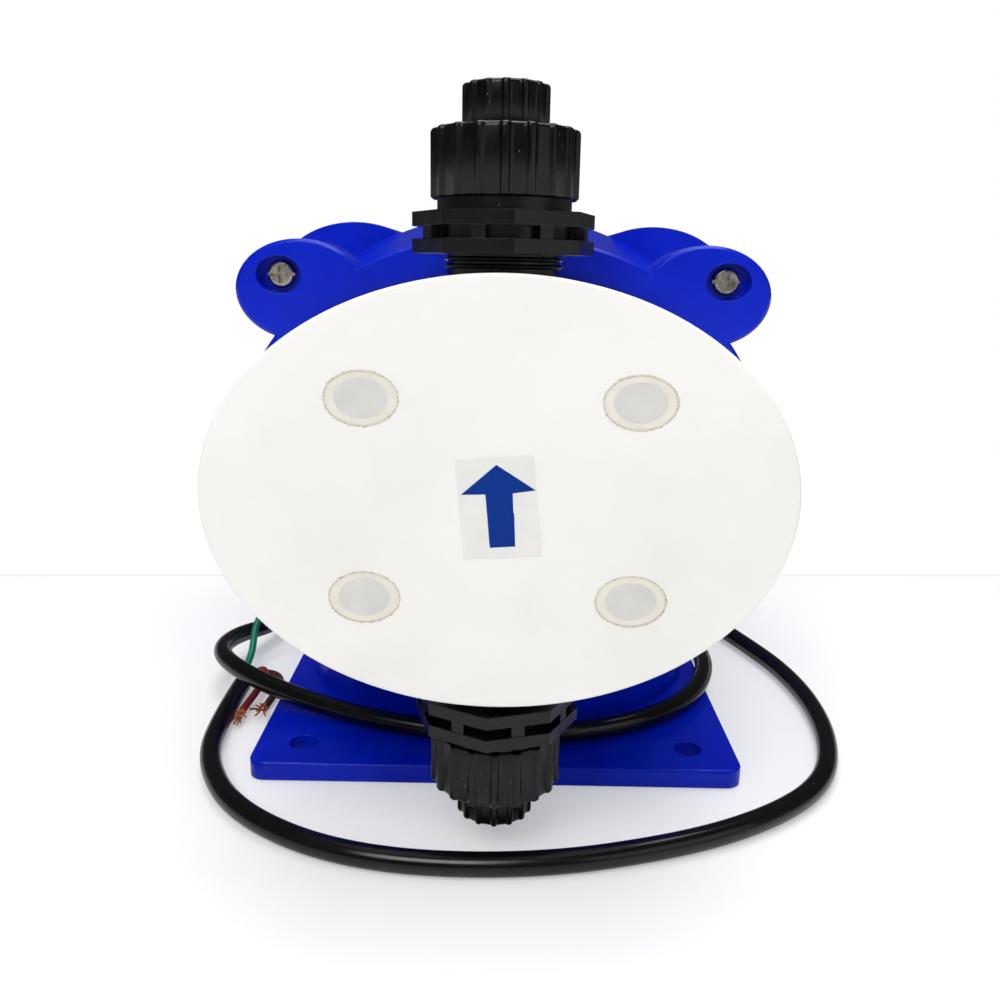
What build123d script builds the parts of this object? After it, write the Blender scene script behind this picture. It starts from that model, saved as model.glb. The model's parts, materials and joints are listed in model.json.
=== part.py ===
from build123d import *
import os
import math

# Diaphragm metering pump.  Millimetres, +Z up, the pump head looks along -Y.
# Origin: centre of the base plate's hole pattern, on the plate's underside.

# ---------------------------------------------------------------- driving dimensions
FIT = 0.05            # radial running clearance of a shaft in its bush
GAP = 0.3             # clearance between curved faces of separate pieces

PLATE_X, PLATE_Y, PLATE_T = 150.0, 190.0, 5.8
PLATE_CORNER_R = 5.0
BASE_HOLE_R = 4.4
BASE_HOLE_X, BASE_HOLE_Y = 120.4, 164.0      # hole spacing

FOOT_RX, FOOT_RY, FOOT_Y = 70.0, 57.0, -12.0  # pedestal at the plate
NECK_RX, NECK_RY, NECK_Z = 48.9, 47.8, 80.0   # its cone at a height inside the barrel, which cuts it
SHELL_T = 4.0
PEDESTAL_ROOM_Z = 44.0                         # ceiling of the pedestal's hollow

DRIVE_Z = 100.5                               # axis of plunger, diaphragm and head
COVER_Z = 103.0                               # centre of the front cover's oval
COVER_RX, COVER_RZ = 71.5, 57.5
COVER_FRONT_Y = -96.6
COVER_T = 7.0
RIM_T = 6.5                                   # housing rim that the cover is screwed to
EAR_X, EAR_Z, EAR_RX, EAR_RZ = 53.7, 42.0, 17.1, 13.2      # Z is from the oval's centre
RECESS_X, RECESS_Z, RECESS_RX, RECESS_RZ = 59.2, 46.0, 6.0, 4.8
RECESS_DEPTH = 5.0
DRIVE_BORE_R = 17.0                           # opening behind the diaphragm, through cover and front wall
SCREW_HOLE_R = 2.1

REAR_LOFT_Y, REAR_Y = -5.0, 70.0              # barrel widens to the first, ends at the second
BARREL_RX, BARREL_RZ, BARREL_Z = 76.0, 56.0, 113.8
LOBE_X, LOBE_Z, LOBE_RX, LOBE_RZ = 52.6, 31.3, 28.4, 21.2  # Z is from the barrel's centre
CAVITY_RX, CAVITY_RZ, CAVITY_Z = 64.0, 46.0, 105.0
FRONT_WALL_T = 4.0
REAR_COVER_T = 18.0
REAR_WALL_T = 3.0
REAR_SCREW_X, REAR_SCREW_Z = 62.0, 38.0       # from the barrel's centre

HEAD_RX, HEAD_RZ, HEAD_T = 67.9, 50.2, 45.0
HEAD_FRONT_Y = -145.5
BOLT_X, BOLT_Z = 61.4, 46.0                   # bolt spacing
BOLT_R, BOLT_HEAD_R, BOLT_HEAD_H = 3.0, 5.0, 6.0
BOLT_SINK = 12.0                              # depth of the bolt seat below the head's face
WASHER_R, WASHER_T = 5.9, 1.2
PLUG_RX, PLUG_RZ, PLUG_T = 8.25, 6.15, 3.0
PORT_Y = -122.0                               # axis of both valves
CHAMBER_R, CHAMBER_DEPTH = 24.0, 3.0
DIAPHRAGM_R, DIAPHRAGM_T, CORE_R = 31.0, 2.6, 13.0

THREAD_R, THREAD_IN = 13.3, 14.0              # valve thread and its length inside the head
THREAD_SHOW, FLANGE_T, GROOVE_T, COLLAR_T = 4.0, 3.2, 2.8, 3.0
FLANGE_R, GROOVE_R, COLLAR_R = 21.4, 19.6, 15.6
UNION_R, UNION_H, UNION_RIBS = 17.2, 15.2, 18
TUBE_NUT_R, TUBE_NUT_H, TUBE_NUT_RIBS = 10.1, 9.6, 14
SPIGOT_R = 12.6                               # valve body inside the union nut
WATERWAY_R = 3.0
BALL_R = 4.75
BALL_LIFT = 1.5
TUBE_R = 3.1                                  # bore for the hose, 6 mm tube

STROKE = 1.2
SHAFT_R = 4.0
YOKE_R, YOKE_T, YOKE_REAR_Y = 38.0, 4.0, -16.0
POLE_R, POLE_Y = 12.6, -62.0
BOBBIN_R, BOBBIN_WALL, FLANGE_BOBBIN_R = 13.0, 1.8, 32.0
ARMATURE_R, ARMATURE_FRONT_Y, ARMATURE_REAR_Y = 12.6, -59.0, -4.0
SPINDLE_R = 3.0
STOP_GAP = 1.4
SPRING_R, SPRING_WIRE, SPRING_TURNS = 6.4, 0.6, 5

KNOB_R, KNOB_H, KNOB_FLUTES = 19.0, 15.0, 12
RATE_X, RATE_Z, RATE_R, RATE_H = 38.0, 124.0, 11.0, 12.0
SWITCH_X, SWITCH_Z, SWITCH_W, SWITCH_H = -36.0, 124.0, 14.0, 21.0
LAMP_X, LAMP_Z, LAMP_R = 0.0, 140.0, 4.0
ROCKER_TILT = 8.0                             # degrees either side of level; it rests at off
GLAND_X, GLAND_Z = -36.0, 84.0

CABLE_R = 3.2
CORE_WIRE_R = 1.3

# ---------------------------------------------------------------- worked-out places
HEAD_BACK_Y = HEAD_FRONT_Y + HEAD_T
COVER_BACK_Y = COVER_FRONT_Y + COVER_T
YOKE_FRONT_Y = COVER_BACK_Y + FRONT_WALL_T     # the solenoid is screwed to the front wall
REAR_FACE_Y = REAR_Y + REAR_COVER_T
BOLT_SEAT_Y = HEAD_FRONT_Y + BOLT_SINK
BOLT_PLACES = [(sx * BOLT_X / 2, DRIVE_Z + sz * BOLT_Z / 2) for sz in (1, -1) for sx in (-1, 1)]
EAR_PLACES = [(sx * RECESS_X, COVER_Z + sz * RECESS_Z) for sz in (1, -1) for sx in (-1, 1)]
REAR_SCREWS = [(sx * REAR_SCREW_X, BARREL_Z + sz * REAR_SCREW_Z) for sz in (1, -1) for sx in (-1, 1)]
BASE_SCREWS = [(sx * 40.0, FOOT_Y + sy * 30.0) for sx in (-1, 1) for sy in (-1, 1)]
VALVE_Z = HEAD_RZ                              # valve datum: head surface, from the drive axis


# ---------------------------------------------------------------- helpers
def prism(sketch, y_front, y_back):
    """Extrude an (x, z) sketch from y_front back to y_back."""
    return extrude(Plane.XZ.offset(-y_back) * sketch, amount=y_back - y_front)


def oval(x, z, rx, rz):
    return Pos(x, z) * (Circle(rx) if abs(rx - rz) < 1e-6 else Ellipse(rx, rz))


def rod_y(r, y_front, y_back, x=0.0, z=DRIVE_Z):
    return prism(Pos(x, z) * Circle(r), y_front, y_back)


def rod_z(r, z0, z1, x=0.0, y=0.0):
    return Pos(x, y, z0) * extrude(Circle(r), amount=z1 - z0)


def four(pieces):
    return Compound(children=[piece.solid() for piece in pieces])


def save(name, shape):
    shape.label = name
    export_step(shape, "parts/" + name + ".step")


def ribbed_barrel(r, height, ribs, depth, chamfer_size):
    """Upright moulded nut blank with flutes between its ribs, standing on z = 0."""
    blank = chamfer(extrude(Circle(r), amount=height).edges().sort_by(Axis.Z)[-1], chamfer_size)
    width = math.pi * r / ribs * 0.72
    flute = Pos(r, 0, 0) * extrude(Rectangle(2 * depth, width), amount=height - chamfer_size - 0.8)
    return blank - [Rot(0, 0, i * 360 / ribs) * flute for i in range(ribs)]


# ---------------------------------------------------------------- base and housing
def base_plate():
    plate = extrude(RectangleRounded(PLATE_X, PLATE_Y, PLATE_CORNER_R), amount=PLATE_T)
    plate = fillet(plate.edges().group_by(Axis.Z)[-1], 0.7)
    for place in GridLocations(BASE_HOLE_X, BASE_HOLE_Y, 2, 2):
        plate -= place * extrude(Circle(BASE_HOLE_R), amount=PLATE_T)
    for x, y in BASE_SCREWS:
        plate -= rod_z(2.3, 0, PLATE_T, x, y)
        plate -= rod_z(4.4, 0, 3.2, x, y)
    return plate


def base_screws():
    screws = []
    for x, y in BASE_SCREWS:
        screws.append(rod_z(3.9, 0.6, 3.1, x, y) + rod_z(2.0, 3.1, PLATE_T + 9.0, x, y))
    return screws


def pedestal_form(shrink=0.0, top=NECK_Z):
    share = (top - PLATE_T) / (NECK_Z - PLATE_T)
    rx = FOOT_RX + (NECK_RX - FOOT_RX) * share - shrink
    ry = FOOT_RY + (NECK_RY - FOOT_RY) * share - shrink
    foot = Plane.XY.offset(PLATE_T) * Pos(0, FOOT_Y) * Ellipse(FOOT_RX - shrink, FOOT_RY - shrink)
    neck = Plane.XY.offset(top) * Pos(0, FOOT_Y) * Ellipse(rx, ry)
    return loft([foot, neck], ruled=True)


def cone_lobe(x0, z0, rx0, rz0, y0, x1, z1, rx1, rz1, y1):
    first = Plane.XZ.offset(-y0) * Pos(x0, z0) * Ellipse(rx0, rz0)
    last = Plane.XZ.offset(-y1) * Pos(x1, z1) * Ellipse(rx1, rz1)
    return loft([first, last], ruled=True)


def lobed_sketch(rx, rz, cz, lobe_x, lobe_z, lobe_rx, lobe_rz):
    sketch = oval(0, cz, rx, rz)
    for sx in (-1, 1):
        for sz in (-1, 1):
            sketch += oval(sx * lobe_x, cz + sz * lobe_z, lobe_rx, lobe_rz)
    return sketch


def rear_outline(inset=0.0):
    return lobed_sketch(BARREL_RX - inset, BARREL_RZ - inset, BARREL_Z, LOBE_X, LOBE_Z,
                        LOBE_RX - inset, LOBE_RZ - inset)


def front_outline():
    return lobed_sketch(COVER_RX, COVER_RZ, COVER_Z, EAR_X, EAR_Z, EAR_RX, EAR_RZ)


def housing_form():
    """Outside of the housing, unpierced: front rim, widening barrel and lobed rear."""
    body = cone_lobe(0, COVER_Z, COVER_RX - 0.8, COVER_RZ - 0.8, COVER_BACK_Y,
                     0, BARREL_Z, BARREL_RX, BARREL_RZ, REAR_LOFT_Y)
    body += prism(front_outline(), COVER_BACK_Y, COVER_BACK_Y + RIM_T)
    return body + prism(rear_outline(), REAR_LOFT_Y, REAR_Y)


def pump_housing():
    body = housing_form()
    body -= prism(oval(0, CAVITY_Z, CAVITY_RX, CAVITY_RZ), COVER_BACK_Y + FRONT_WALL_T, REAR_Y)
    body -= rod_y(DRIVE_BORE_R, COVER_BACK_Y, COVER_BACK_Y + FRONT_WALL_T)
    for x, z in EAR_PLACES:
        body -= rod_y(SCREW_HOLE_R, COVER_BACK_Y, COVER_BACK_Y + RIM_T - 0.5, x, z)
    for x, z in REAR_SCREWS:
        body -= rod_y(SCREW_HOLE_R, REAR_Y - 12.0, REAR_Y, x, z)
    return body


def pedestal():
    """Hollow oval foot, welded to the barrel's underside and screwed to the plate."""
    body = pedestal_form() - housing_form()
    hollow = pedestal_form(SHELL_T, PEDESTAL_ROOM_Z)
    for x, y in BASE_SCREWS:
        hollow -= rod_z(5.5, PLATE_T, NECK_Z, x, y)
    body -= hollow
    for x, y in BASE_SCREWS:
        body -= rod_z(SCREW_HOLE_R, PLATE_T, PLATE_T + 10.0, x, y)
    return body


def front_cover():
    cover = prism(front_outline(), COVER_FRONT_Y, COVER_BACK_Y)
    cover = chamfer(cover.edges().filter_by(Plane.XZ).group_by(Axis.Y)[0], 0.8)
    cover -= rod_y(DRIVE_BORE_R, COVER_FRONT_Y, COVER_BACK_Y)
    for x, z in EAR_PLACES:
        cover -= prism(oval(x, z, RECESS_RX, RECESS_RZ), COVER_FRONT_Y, COVER_FRONT_Y + RECESS_DEPTH)
        cover -= rod_y(2.3, COVER_FRONT_Y, COVER_BACK_Y, x, z)
    for x, z in BOLT_PLACES:
        cover -= rod_y(BOLT_R + 0.1, COVER_FRONT_Y, COVER_BACK_Y, x, z)
    return cover


def pan_screw(x, z, y_seat, length, out):
    """Pan-head screw with a cross and a slot; out is -1 when the head looks to the front."""
    head_r, head_h = 3.6, 2.4
    y_top = y_seat + out * head_h
    head = rod_y(head_r, min(y_seat, y_top), max(y_seat, y_top), x, z)
    head = fillet(head.edges().filter_by(GeomType.CIRCLE).sort_by(Axis.Y)[0 if out < 0 else -1], 1.0)
    y_cut = y_top - out * 1.2
    for w, h in ((2 * head_r, 0.9), (1.1, 4.2), (4.2, 1.1)):
        head -= prism(Pos(x, z) * Rectangle(w, h), min(y_top, y_cut), max(y_top, y_cut))
    y_tip = y_seat - out * length
    return head + rod_y(2.0, min(y_seat, y_tip), max(y_seat, y_tip), x, z)


def front_cover_screws():
    return [pan_screw(x, z, COVER_FRONT_Y + RECESS_DEPTH, COVER_T - RECESS_DEPTH + RIM_T - 1.0, -1)
            for x, z in EAR_PLACES]


# ---------------------------------------------------------------- rear cover and its controls
def rear_cover():
    cover = prism(rear_outline(), REAR_Y, REAR_FACE_Y)
    cover = chamfer(cover.edges().filter_by(Plane.XZ).group_by(Axis.Y)[-1], 2.0)
    cover -= prism(oval(0, CAVITY_Z, CAVITY_RX, CAVITY_RZ), REAR_Y, REAR_FACE_Y - REAR_WALL_T)
    for x, z in REAR_SCREWS:
        cover -= rod_y(2.3, REAR_Y, REAR_FACE_Y, x, z)
        cover -= rod_y(4.6, REAR_FACE_Y - 6.0, REAR_FACE_Y, x, z)
    cover -= rod_y(6.0 + FIT, REAR_FACE_Y - REAR_WALL_T, REAR_FACE_Y)
    cover -= rod_y(3.6, REAR_FACE_Y - REAR_WALL_T, REAR_FACE_Y, RATE_X, RATE_Z)
    cover -= rod_y(LAMP_R, REAR_FACE_Y - REAR_WALL_T, REAR_FACE_Y, LAMP_X, LAMP_Z)
    cover -= rod_y(6.0, REAR_FACE_Y - REAR_WALL_T, REAR_FACE_Y, GLAND_X, GLAND_Z)
    cover -= prism(Pos(SWITCH_X, SWITCH_Z) * Rectangle(SWITCH_W, SWITCH_H),
                   REAR_FACE_Y - REAR_WALL_T, REAR_FACE_Y)
    return cover


def rear_cover_screws():
    return [pan_screw(x, z, REAR_FACE_Y - 6.0, REAR_COVER_T - 6.0 + 11.0, 1) for x, z in REAR_SCREWS]


def spindle_nut():
    """Brass bush in the rear wall that the stroke spindle runs in."""
    y0 = REAR_FACE_Y - REAR_WALL_T
    nut = rod_y(8.5, y0 - 3.0, y0) + rod_y(6.0, y0, REAR_FACE_Y)
    return nut - rod_y(SPINDLE_R + FIT, y0 - 3.0, REAR_FACE_Y)


def stroke_spindle():
    tip_y = ARMATURE_REAR_Y + STOP_GAP
    spindle = rod_y(SPINDLE_R, tip_y, REAR_FACE_Y + KNOB_H - 4.0)
    return spindle + rod_y(5.0, tip_y, tip_y + 6.0)


def stroke_knob():
    y0 = REAR_FACE_Y + GAP
    knob = Plane.XZ.offset(-y0) * Pos(0, DRIVE_Z) * Circle(KNOB_R)
    knob = extrude(knob, amount=-KNOB_H)
    knob = fillet(knob.edges().filter_by(GeomType.CIRCLE).sort_by(Axis.Y)[-1], 2.0)
    for i in range(KNOB_FLUTES):
        a = math.radians(i * 360 / KNOB_FLUTES + 15)
        x, z = (KNOB_R + 1.2) * math.cos(a), DRIVE_Z + (KNOB_R + 1.2) * math.sin(a)
        knob -= rod_y(2.6, y0 + 3.0, y0 + KNOB_H, x, z)
    knob -= rod_y(SPINDLE_R + FIT, y0, y0 + KNOB_H - 2.5)
    knob -= prism(Pos(0, DRIVE_Z + KNOB_R * 0.62) * Rectangle(1.2, KNOB_R * 0.5), y0 + KNOB_H - 0.6, y0 + KNOB_H)
    return knob


def rate_knob():
    y0 = REAR_FACE_Y + GAP
    knob = rod_y(RATE_R, y0, y0 + RATE_H, RATE_X, RATE_Z)
    knob = fillet(knob.edges().filter_by(GeomType.CIRCLE).sort_by(Axis.Y)[-1], 1.2)
    for i in range(10):
        a = math.radians(i * 36 + 18)
        knob -= rod_y(1.6, y0 + 2.0, y0 + RATE_H, RATE_X + (RATE_R + 0.7) * math.cos(a),
                      RATE_Z + (RATE_R + 0.7) * math.sin(a))
    knob -= prism(Pos(RATE_X, RATE_Z + RATE_R * 0.6) * Rectangle(1.0, RATE_R * 0.5),
                  y0 + RATE_H - 0.6, y0 + RATE_H)
    return knob + rod_y(3.0, REAR_FACE_Y - 9.0, y0, RATE_X, RATE_Z)


def rate_control():
    y1 = REAR_FACE_Y - REAR_WALL_T
    can = rod_y(8.0, y1 - 9.0, y1, RATE_X, RATE_Z) + rod_y(3.5, y1, REAR_FACE_Y, RATE_X, RATE_Z)
    return can - rod_y(3.0 + FIT, REAR_FACE_Y - 9.0 - 1.0, REAR_FACE_Y, RATE_X, RATE_Z)


def power_switch():
    """Frame of the mains switch, with the rocker's well and its two pivot pips."""
    y0 = REAR_FACE_Y - REAR_WALL_T - 12.0
    frame = prism(Pos(SWITCH_X, SWITCH_Z) * Rectangle(SWITCH_W - 0.2, SWITCH_H - 0.2), y0, REAR_FACE_Y)
    frame += prism(Pos(SWITCH_X, SWITCH_Z) * Rectangle(SWITCH_W + 3, SWITCH_H + 3), REAR_FACE_Y, REAR_FACE_Y + 1.6)
    well = prism(Pos(SWITCH_X, SWITCH_Z) * Rectangle(SWITCH_W - 3.0, SWITCH_H - 3.0),
                 REAR_FACE_Y - 8.0, REAR_FACE_Y + 1.6)
    return frame - well


def switch_rocker():
    w = SWITCH_W - 4.0
    profile = Plane.YZ * Pos(REAR_FACE_Y - 2.0, SWITCH_Z) * Polygon(
        (-3.0, -6.0), (3.6, -8.0), (4.6, -7.6), (3.0, 0), (4.6, 7.6), (3.6, 8.0), (-3.0, 6.0), align=None)
    rocker = Pos(SWITCH_X - w / 2, 0, 0) * extrude(profile, amount=w)
    pivot = Axis((SWITCH_X, REAR_FACE_Y - 2.0, SWITCH_Z), (1, 0, 0))
    return rocker.rotate(pivot, -ROCKER_TILT)


def power_lamp():
    lens = rod_y(LAMP_R - 0.1, REAR_FACE_Y - REAR_WALL_T - 5.0, REAR_FACE_Y, LAMP_X, LAMP_Z)
    dome = rod_y(LAMP_R + 1.0, REAR_FACE_Y, REAR_FACE_Y + 2.6, LAMP_X, LAMP_Z)
    dome = fillet(dome.edges().filter_by(GeomType.CIRCLE).sort_by(Axis.Y)[-1], 1.6)
    return lens + dome


def circuit_board():
    y0 = REAR_Y - 6.0
    board = prism(Pos(0, DRIVE_Z + 24.0) * Rectangle(88, 24), y0, y0 + 1.6)
    for x, w, h in ((-30, 14, 12), (-8, 10, 9), (12, 16, 10), (32, 9, 9)):
        board += prism(Pos(x, DRIVE_Z + 24.0) * Rectangle(w, h), y0 - 7.0, y0)
    return board


def board_posts():
    return [rod_y(3.0, REAR_Y - 6.0 + 1.6, REAR_FACE_Y - REAR_WALL_T, x, DRIVE_Z + 20.0) for x in (-22, 22)]


def cable_gland():
    """Hexagon gland and cap nut; the cable starts at its mouth."""
    y0 = REAR_FACE_Y
    hexagon = prism(Pos(GLAND_X, GLAND_Z) * RegularPolygon(9.0, 6), y0, y0 + 5.0)
    cap = rod_y(8.2, y0 + 5.0, y0 + 15.0, GLAND_X, GLAND_Z)
    cap = fillet(cap.edges().filter_by(GeomType.CIRCLE).sort_by(Axis.Y)[-1], 2.5)
    tail = rod_y(5.9, y0 - REAR_WALL_T - 4.0, y0, GLAND_X, GLAND_Z)
    nut = prism(Pos(GLAND_X, GLAND_Z) * RegularPolygon(9.0, 6), y0 - REAR_WALL_T - 3.5, y0 - REAR_WALL_T)
    return hexagon + cap + tail + nut


# ---------------------------------------------------------------- drive
def solenoid_frame():
    """Steel can with its front plate and pole piece."""
    can = rod_y(YOKE_R, YOKE_FRONT_Y, YOKE_REAR_Y) - rod_y(YOKE_R - YOKE_T, YOKE_FRONT_Y + 8.0, YOKE_REAR_Y)
    can += rod_y(POLE_R, YOKE_FRONT_Y + 8.0, POLE_Y)
    return can - rod_y(6.0, YOKE_FRONT_Y, POLE_Y)


def solenoid_end_plate():
    ring = rod_y(YOKE_R, YOKE_REAR_Y, YOKE_REAR_Y + 5.0)
    return ring - rod_y(ARMATURE_R + GAP, YOKE_REAR_Y, YOKE_REAR_Y + 5.0)


def shaft_bush():
    bush = rod_y(6.0 - 0.02, YOKE_FRONT_Y, POLE_Y)
    return bush - rod_y(SHAFT_R + FIT, YOKE_FRONT_Y, POLE_Y)


def coil_bobbin():
    y0, y1 = YOKE_FRONT_Y + 8.2, YOKE_REAR_Y - 0.1
    outer = BOBBIN_R + BOBBIN_WALL
    spool = rod_y(outer, y0, y1) + rod_y(FLANGE_BOBBIN_R, y0, y0 + 2.0) + rod_y(FLANGE_BOBBIN_R, y1 - 2.0, y1)
    return spool - rod_y(BOBBIN_R, y0, y1)


def coil_winding():
    y0, y1 = YOKE_FRONT_Y + 10.3, YOKE_REAR_Y - 2.2
    return rod_y(FLANGE_BOBBIN_R - 1.5, y0, y1) - rod_y(BOBBIN_R + BOBBIN_WALL + 0.1, y0, y1)


def armature():
    core = rod_y(ARMATURE_R, ARMATURE_FRONT_Y, ARMATURE_REAR_Y)
    core = chamfer(core.edges().filter_by(GeomType.CIRCLE), 0.8)
    core -= rod_y(8.5, ARMATURE_FRONT_Y, ARMATURE_FRONT_Y + 14.0)
    return core - rod_y(SHAFT_R, ARMATURE_FRONT_Y + 14.0, ARMATURE_FRONT_Y + 30.0)


def plunger_shaft():
    return rod_y(SHAFT_R, HEAD_BACK_Y, ARMATURE_FRONT_Y + 30.0)


def return_spring():
    length = ARMATURE_FRONT_Y + 14.0 - POLE_Y - 2 * SPRING_WIRE - 0.3
    helix = Helix(length / SPRING_TURNS, length, SPRING_R)
    section = Plane(origin=helix @ 0, z_dir=helix % 0) * Circle(SPRING_WIRE)
    coil = sweep(section, path=helix, is_frenet=True)
    return Pos(0, POLE_Y + SPRING_WIRE + 0.15, DRIVE_Z) * Rot(-90, 0, 0) * coil


# ---------------------------------------------------------------- head and diaphragm
def head_adapter():
    plate = prism(oval(0, DRIVE_Z, HEAD_RX - 2.0, HEAD_RZ - 2.0), HEAD_BACK_Y, COVER_FRONT_Y)
    plate -= rod_y(CORE_R + 2.0, HEAD_BACK_Y, COVER_FRONT_Y)
    for x, z in BOLT_PLACES:
        plate -= rod_y(BOLT_R + 0.2, HEAD_BACK_Y, COVER_FRONT_Y, x, z)
    return plate


def diaphragm():
    """Clamped rim with its thin flexing web; the moulded-in core is a separate node."""
    y0 = HEAD_BACK_Y - DIAPHRAGM_T
    rim = rod_y(DIAPHRAGM_R - 0.1, y0, HEAD_BACK_Y) - rod_y(CHAMBER_R, y0, HEAD_BACK_Y)
    web = rod_y(CHAMBER_R, y0 + 0.8, HEAD_BACK_Y - 0.6)
    return rim + web - rod_y(CORE_R + 0.25, y0, HEAD_BACK_Y)


def diaphragm_core():
    core = rod_y(CORE_R, HEAD_BACK_Y - DIAPHRAGM_T + 0.4, HEAD_BACK_Y)
    return core


def pump_head():
    head = prism(oval(0, DRIVE_Z, HEAD_RX, HEAD_RZ), HEAD_FRONT_Y, HEAD_BACK_Y)
    head = fillet(head.edges().filter_by(Plane.XZ).group_by(Axis.Y)[0], 0.7)
    head -= rod_y(DIAPHRAGM_R, HEAD_BACK_Y - DIAPHRAGM_T, HEAD_BACK_Y)
    y_floor = HEAD_BACK_Y - DIAPHRAGM_T - CHAMBER_DEPTH
    head -= rod_y(CHAMBER_R, y_floor, HEAD_BACK_Y)
    for sz in (-1, 1):
        outer = DRIVE_Z + sz * HEAD_RZ
        seat = outer - sz * THREAD_IN
        head -= rod_z(THREAD_R + 0.1, min(outer + sz, seat), max(outer + sz, seat), 0, PORT_Y)
        inner = DRIVE_Z + sz * 14.0
        head -= rod_z(WATERWAY_R, min(inner, seat), max(inner, seat), 0, PORT_Y)
        head -= rod_y(WATERWAY_R, PORT_Y, y_floor, 0, inner)
    for x, z in BOLT_PLACES:
        head -= rod_y(BOLT_R + 0.2, BOLT_SEAT_Y, HEAD_BACK_Y, x, z)
        head -= rod_y(WASHER_R + 0.1, HEAD_FRONT_Y + PLUG_T, BOLT_SEAT_Y, x, z)
        head -= prism(oval(x, z, PLUG_RX, PLUG_RZ), HEAD_FRONT_Y, HEAD_FRONT_Y + PLUG_T)
    return head


def head_bolts():
    bolts = []
    for x, z in BOLT_PLACES:
        y_head = BOLT_SEAT_Y - WASHER_T
        bolt = rod_y(WASHER_R, y_head, BOLT_SEAT_Y, x, z)
        bolt += rod_y(BOLT_HEAD_R, y_head - BOLT_HEAD_H, y_head, x, z)
        bolt += rod_y(BOLT_R, BOLT_SEAT_Y, COVER_BACK_Y - 1.0, x, z)
        socket = prism(Pos(x, z) * RegularPolygon(2.9, 6), y_head - BOLT_HEAD_H, y_head - 3.0)
        bolts.append(bolt - socket)
    return bolts


def bolt_plugs():
    plugs = []
    for x, z in BOLT_PLACES:
        plug = prism(oval(x, z, PLUG_RX - 0.15, PLUG_RZ - 0.15), HEAD_FRONT_Y + 0.1, HEAD_FRONT_Y + PLUG_T)
        plug -= prism(oval(x, z, PLUG_RX - 2.4, PLUG_RZ - 1.7), HEAD_FRONT_Y + 0.1, HEAD_FRONT_Y + 0.5)
        plugs.append(plug)
    return plugs


def flow_label():
    film = Pos(-0.4, DRIVE_Z - 3.6) * Rot(0, 0, 4.0) * Rectangle(16.4, 20.6)
    return prism(film, HEAD_FRONT_Y - 0.2, HEAD_FRONT_Y)


# ---------------------------------------------------------------- valves
# A valve is built upright from the head's surface (z = 0) outwards; flow runs upwards in both.
Z_FLANGE = THREAD_SHOW
Z_COLLAR = Z_FLANGE + 2 * FLANGE_T + GROOVE_T
Z_UNION = Z_COLLAR + COLLAR_T
Z_NUT = Z_UNION + UNION_H
Z_END = Z_NUT + TUBE_NUT_H
Z_SPIGOT = Z_UNION + 6.0                        # end of the valve body inside the union nut
SEAT_H = 3.0


def octagon(r, z, height):
    return Pos(0, 0, z) * extrude(RegularPolygon(r, 8, rotation=6.0), amount=height)


def valve_body():
    body = rod_z(THREAD_R, -THREAD_IN, Z_FLANGE + FLANGE_T)
    body += octagon(FLANGE_R, Z_FLANGE, FLANGE_T)
    body += rod_z(GROOVE_R - 3.0, Z_FLANGE + FLANGE_T, Z_COLLAR - FLANGE_T)
    for i in range(8):
        web = Pos(GROOVE_R / 2 + 4.0, 0, Z_FLANGE + FLANGE_T) * extrude(Rectangle(GROOVE_R - 8.0, 3.4), amount=GROOVE_T)
        body += Rot(0, 0, 28.5 + i * 45) * web
    body += octagon(FLANGE_R, Z_COLLAR - FLANGE_T, FLANGE_T)
    body += rod_z(COLLAR_R, Z_COLLAR, Z_UNION)
    body += rod_z(SPIGOT_R, Z_UNION, Z_SPIGOT)
    return body


def union_nut():
    nut = ribbed_barrel(UNION_R, UNION_H, UNION_RIBS, 1.0, 1.0)
    nut -= rod_z(SPIGOT_R + GAP, 0, 6.6)
    nut -= rod_z(SPIGOT_R + GAP, 6.6, 11.8)
    nut -= rod_z(8.6, 11.8, UNION_H)
    return Pos(0, 0, Z_UNION) * nut


def hose_nipple():
    nipple = rod_z(SPIGOT_R - 0.4, Z_SPIGOT + 0.8, Z_SPIGOT + 5.6)
    nipple += rod_z(8.3, Z_SPIGOT + 5.6, Z_NUT)
    nipple += rod_z(6.6, Z_NUT, Z_NUT + 6.5)
    return nipple - rod_z(TUBE_R - 1.0, Z_SPIGOT, Z_NUT) - rod_z(TUBE_R, Z_NUT - 6.0, Z_END)


def tube_nut():
    nut = Pos(0, 0, Z_NUT + 0.2) * ribbed_barrel(TUBE_NUT_R, TUBE_NUT_H - 0.2, TUBE_NUT_RIBS, 0.8, 0.7)
    return nut - rod_z(6.6 + GAP, Z_NUT, Z_NUT + 6.8) - rod_z(TUBE_R, Z_NUT, Z_END)


def seal_ring():
    return rod_z(SPIGOT_R - 0.6, Z_SPIGOT, Z_SPIGOT + 0.8) - rod_z(SPIGOT_R - 4.0, Z_SPIGOT, Z_SPIGOT + 0.8)


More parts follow.
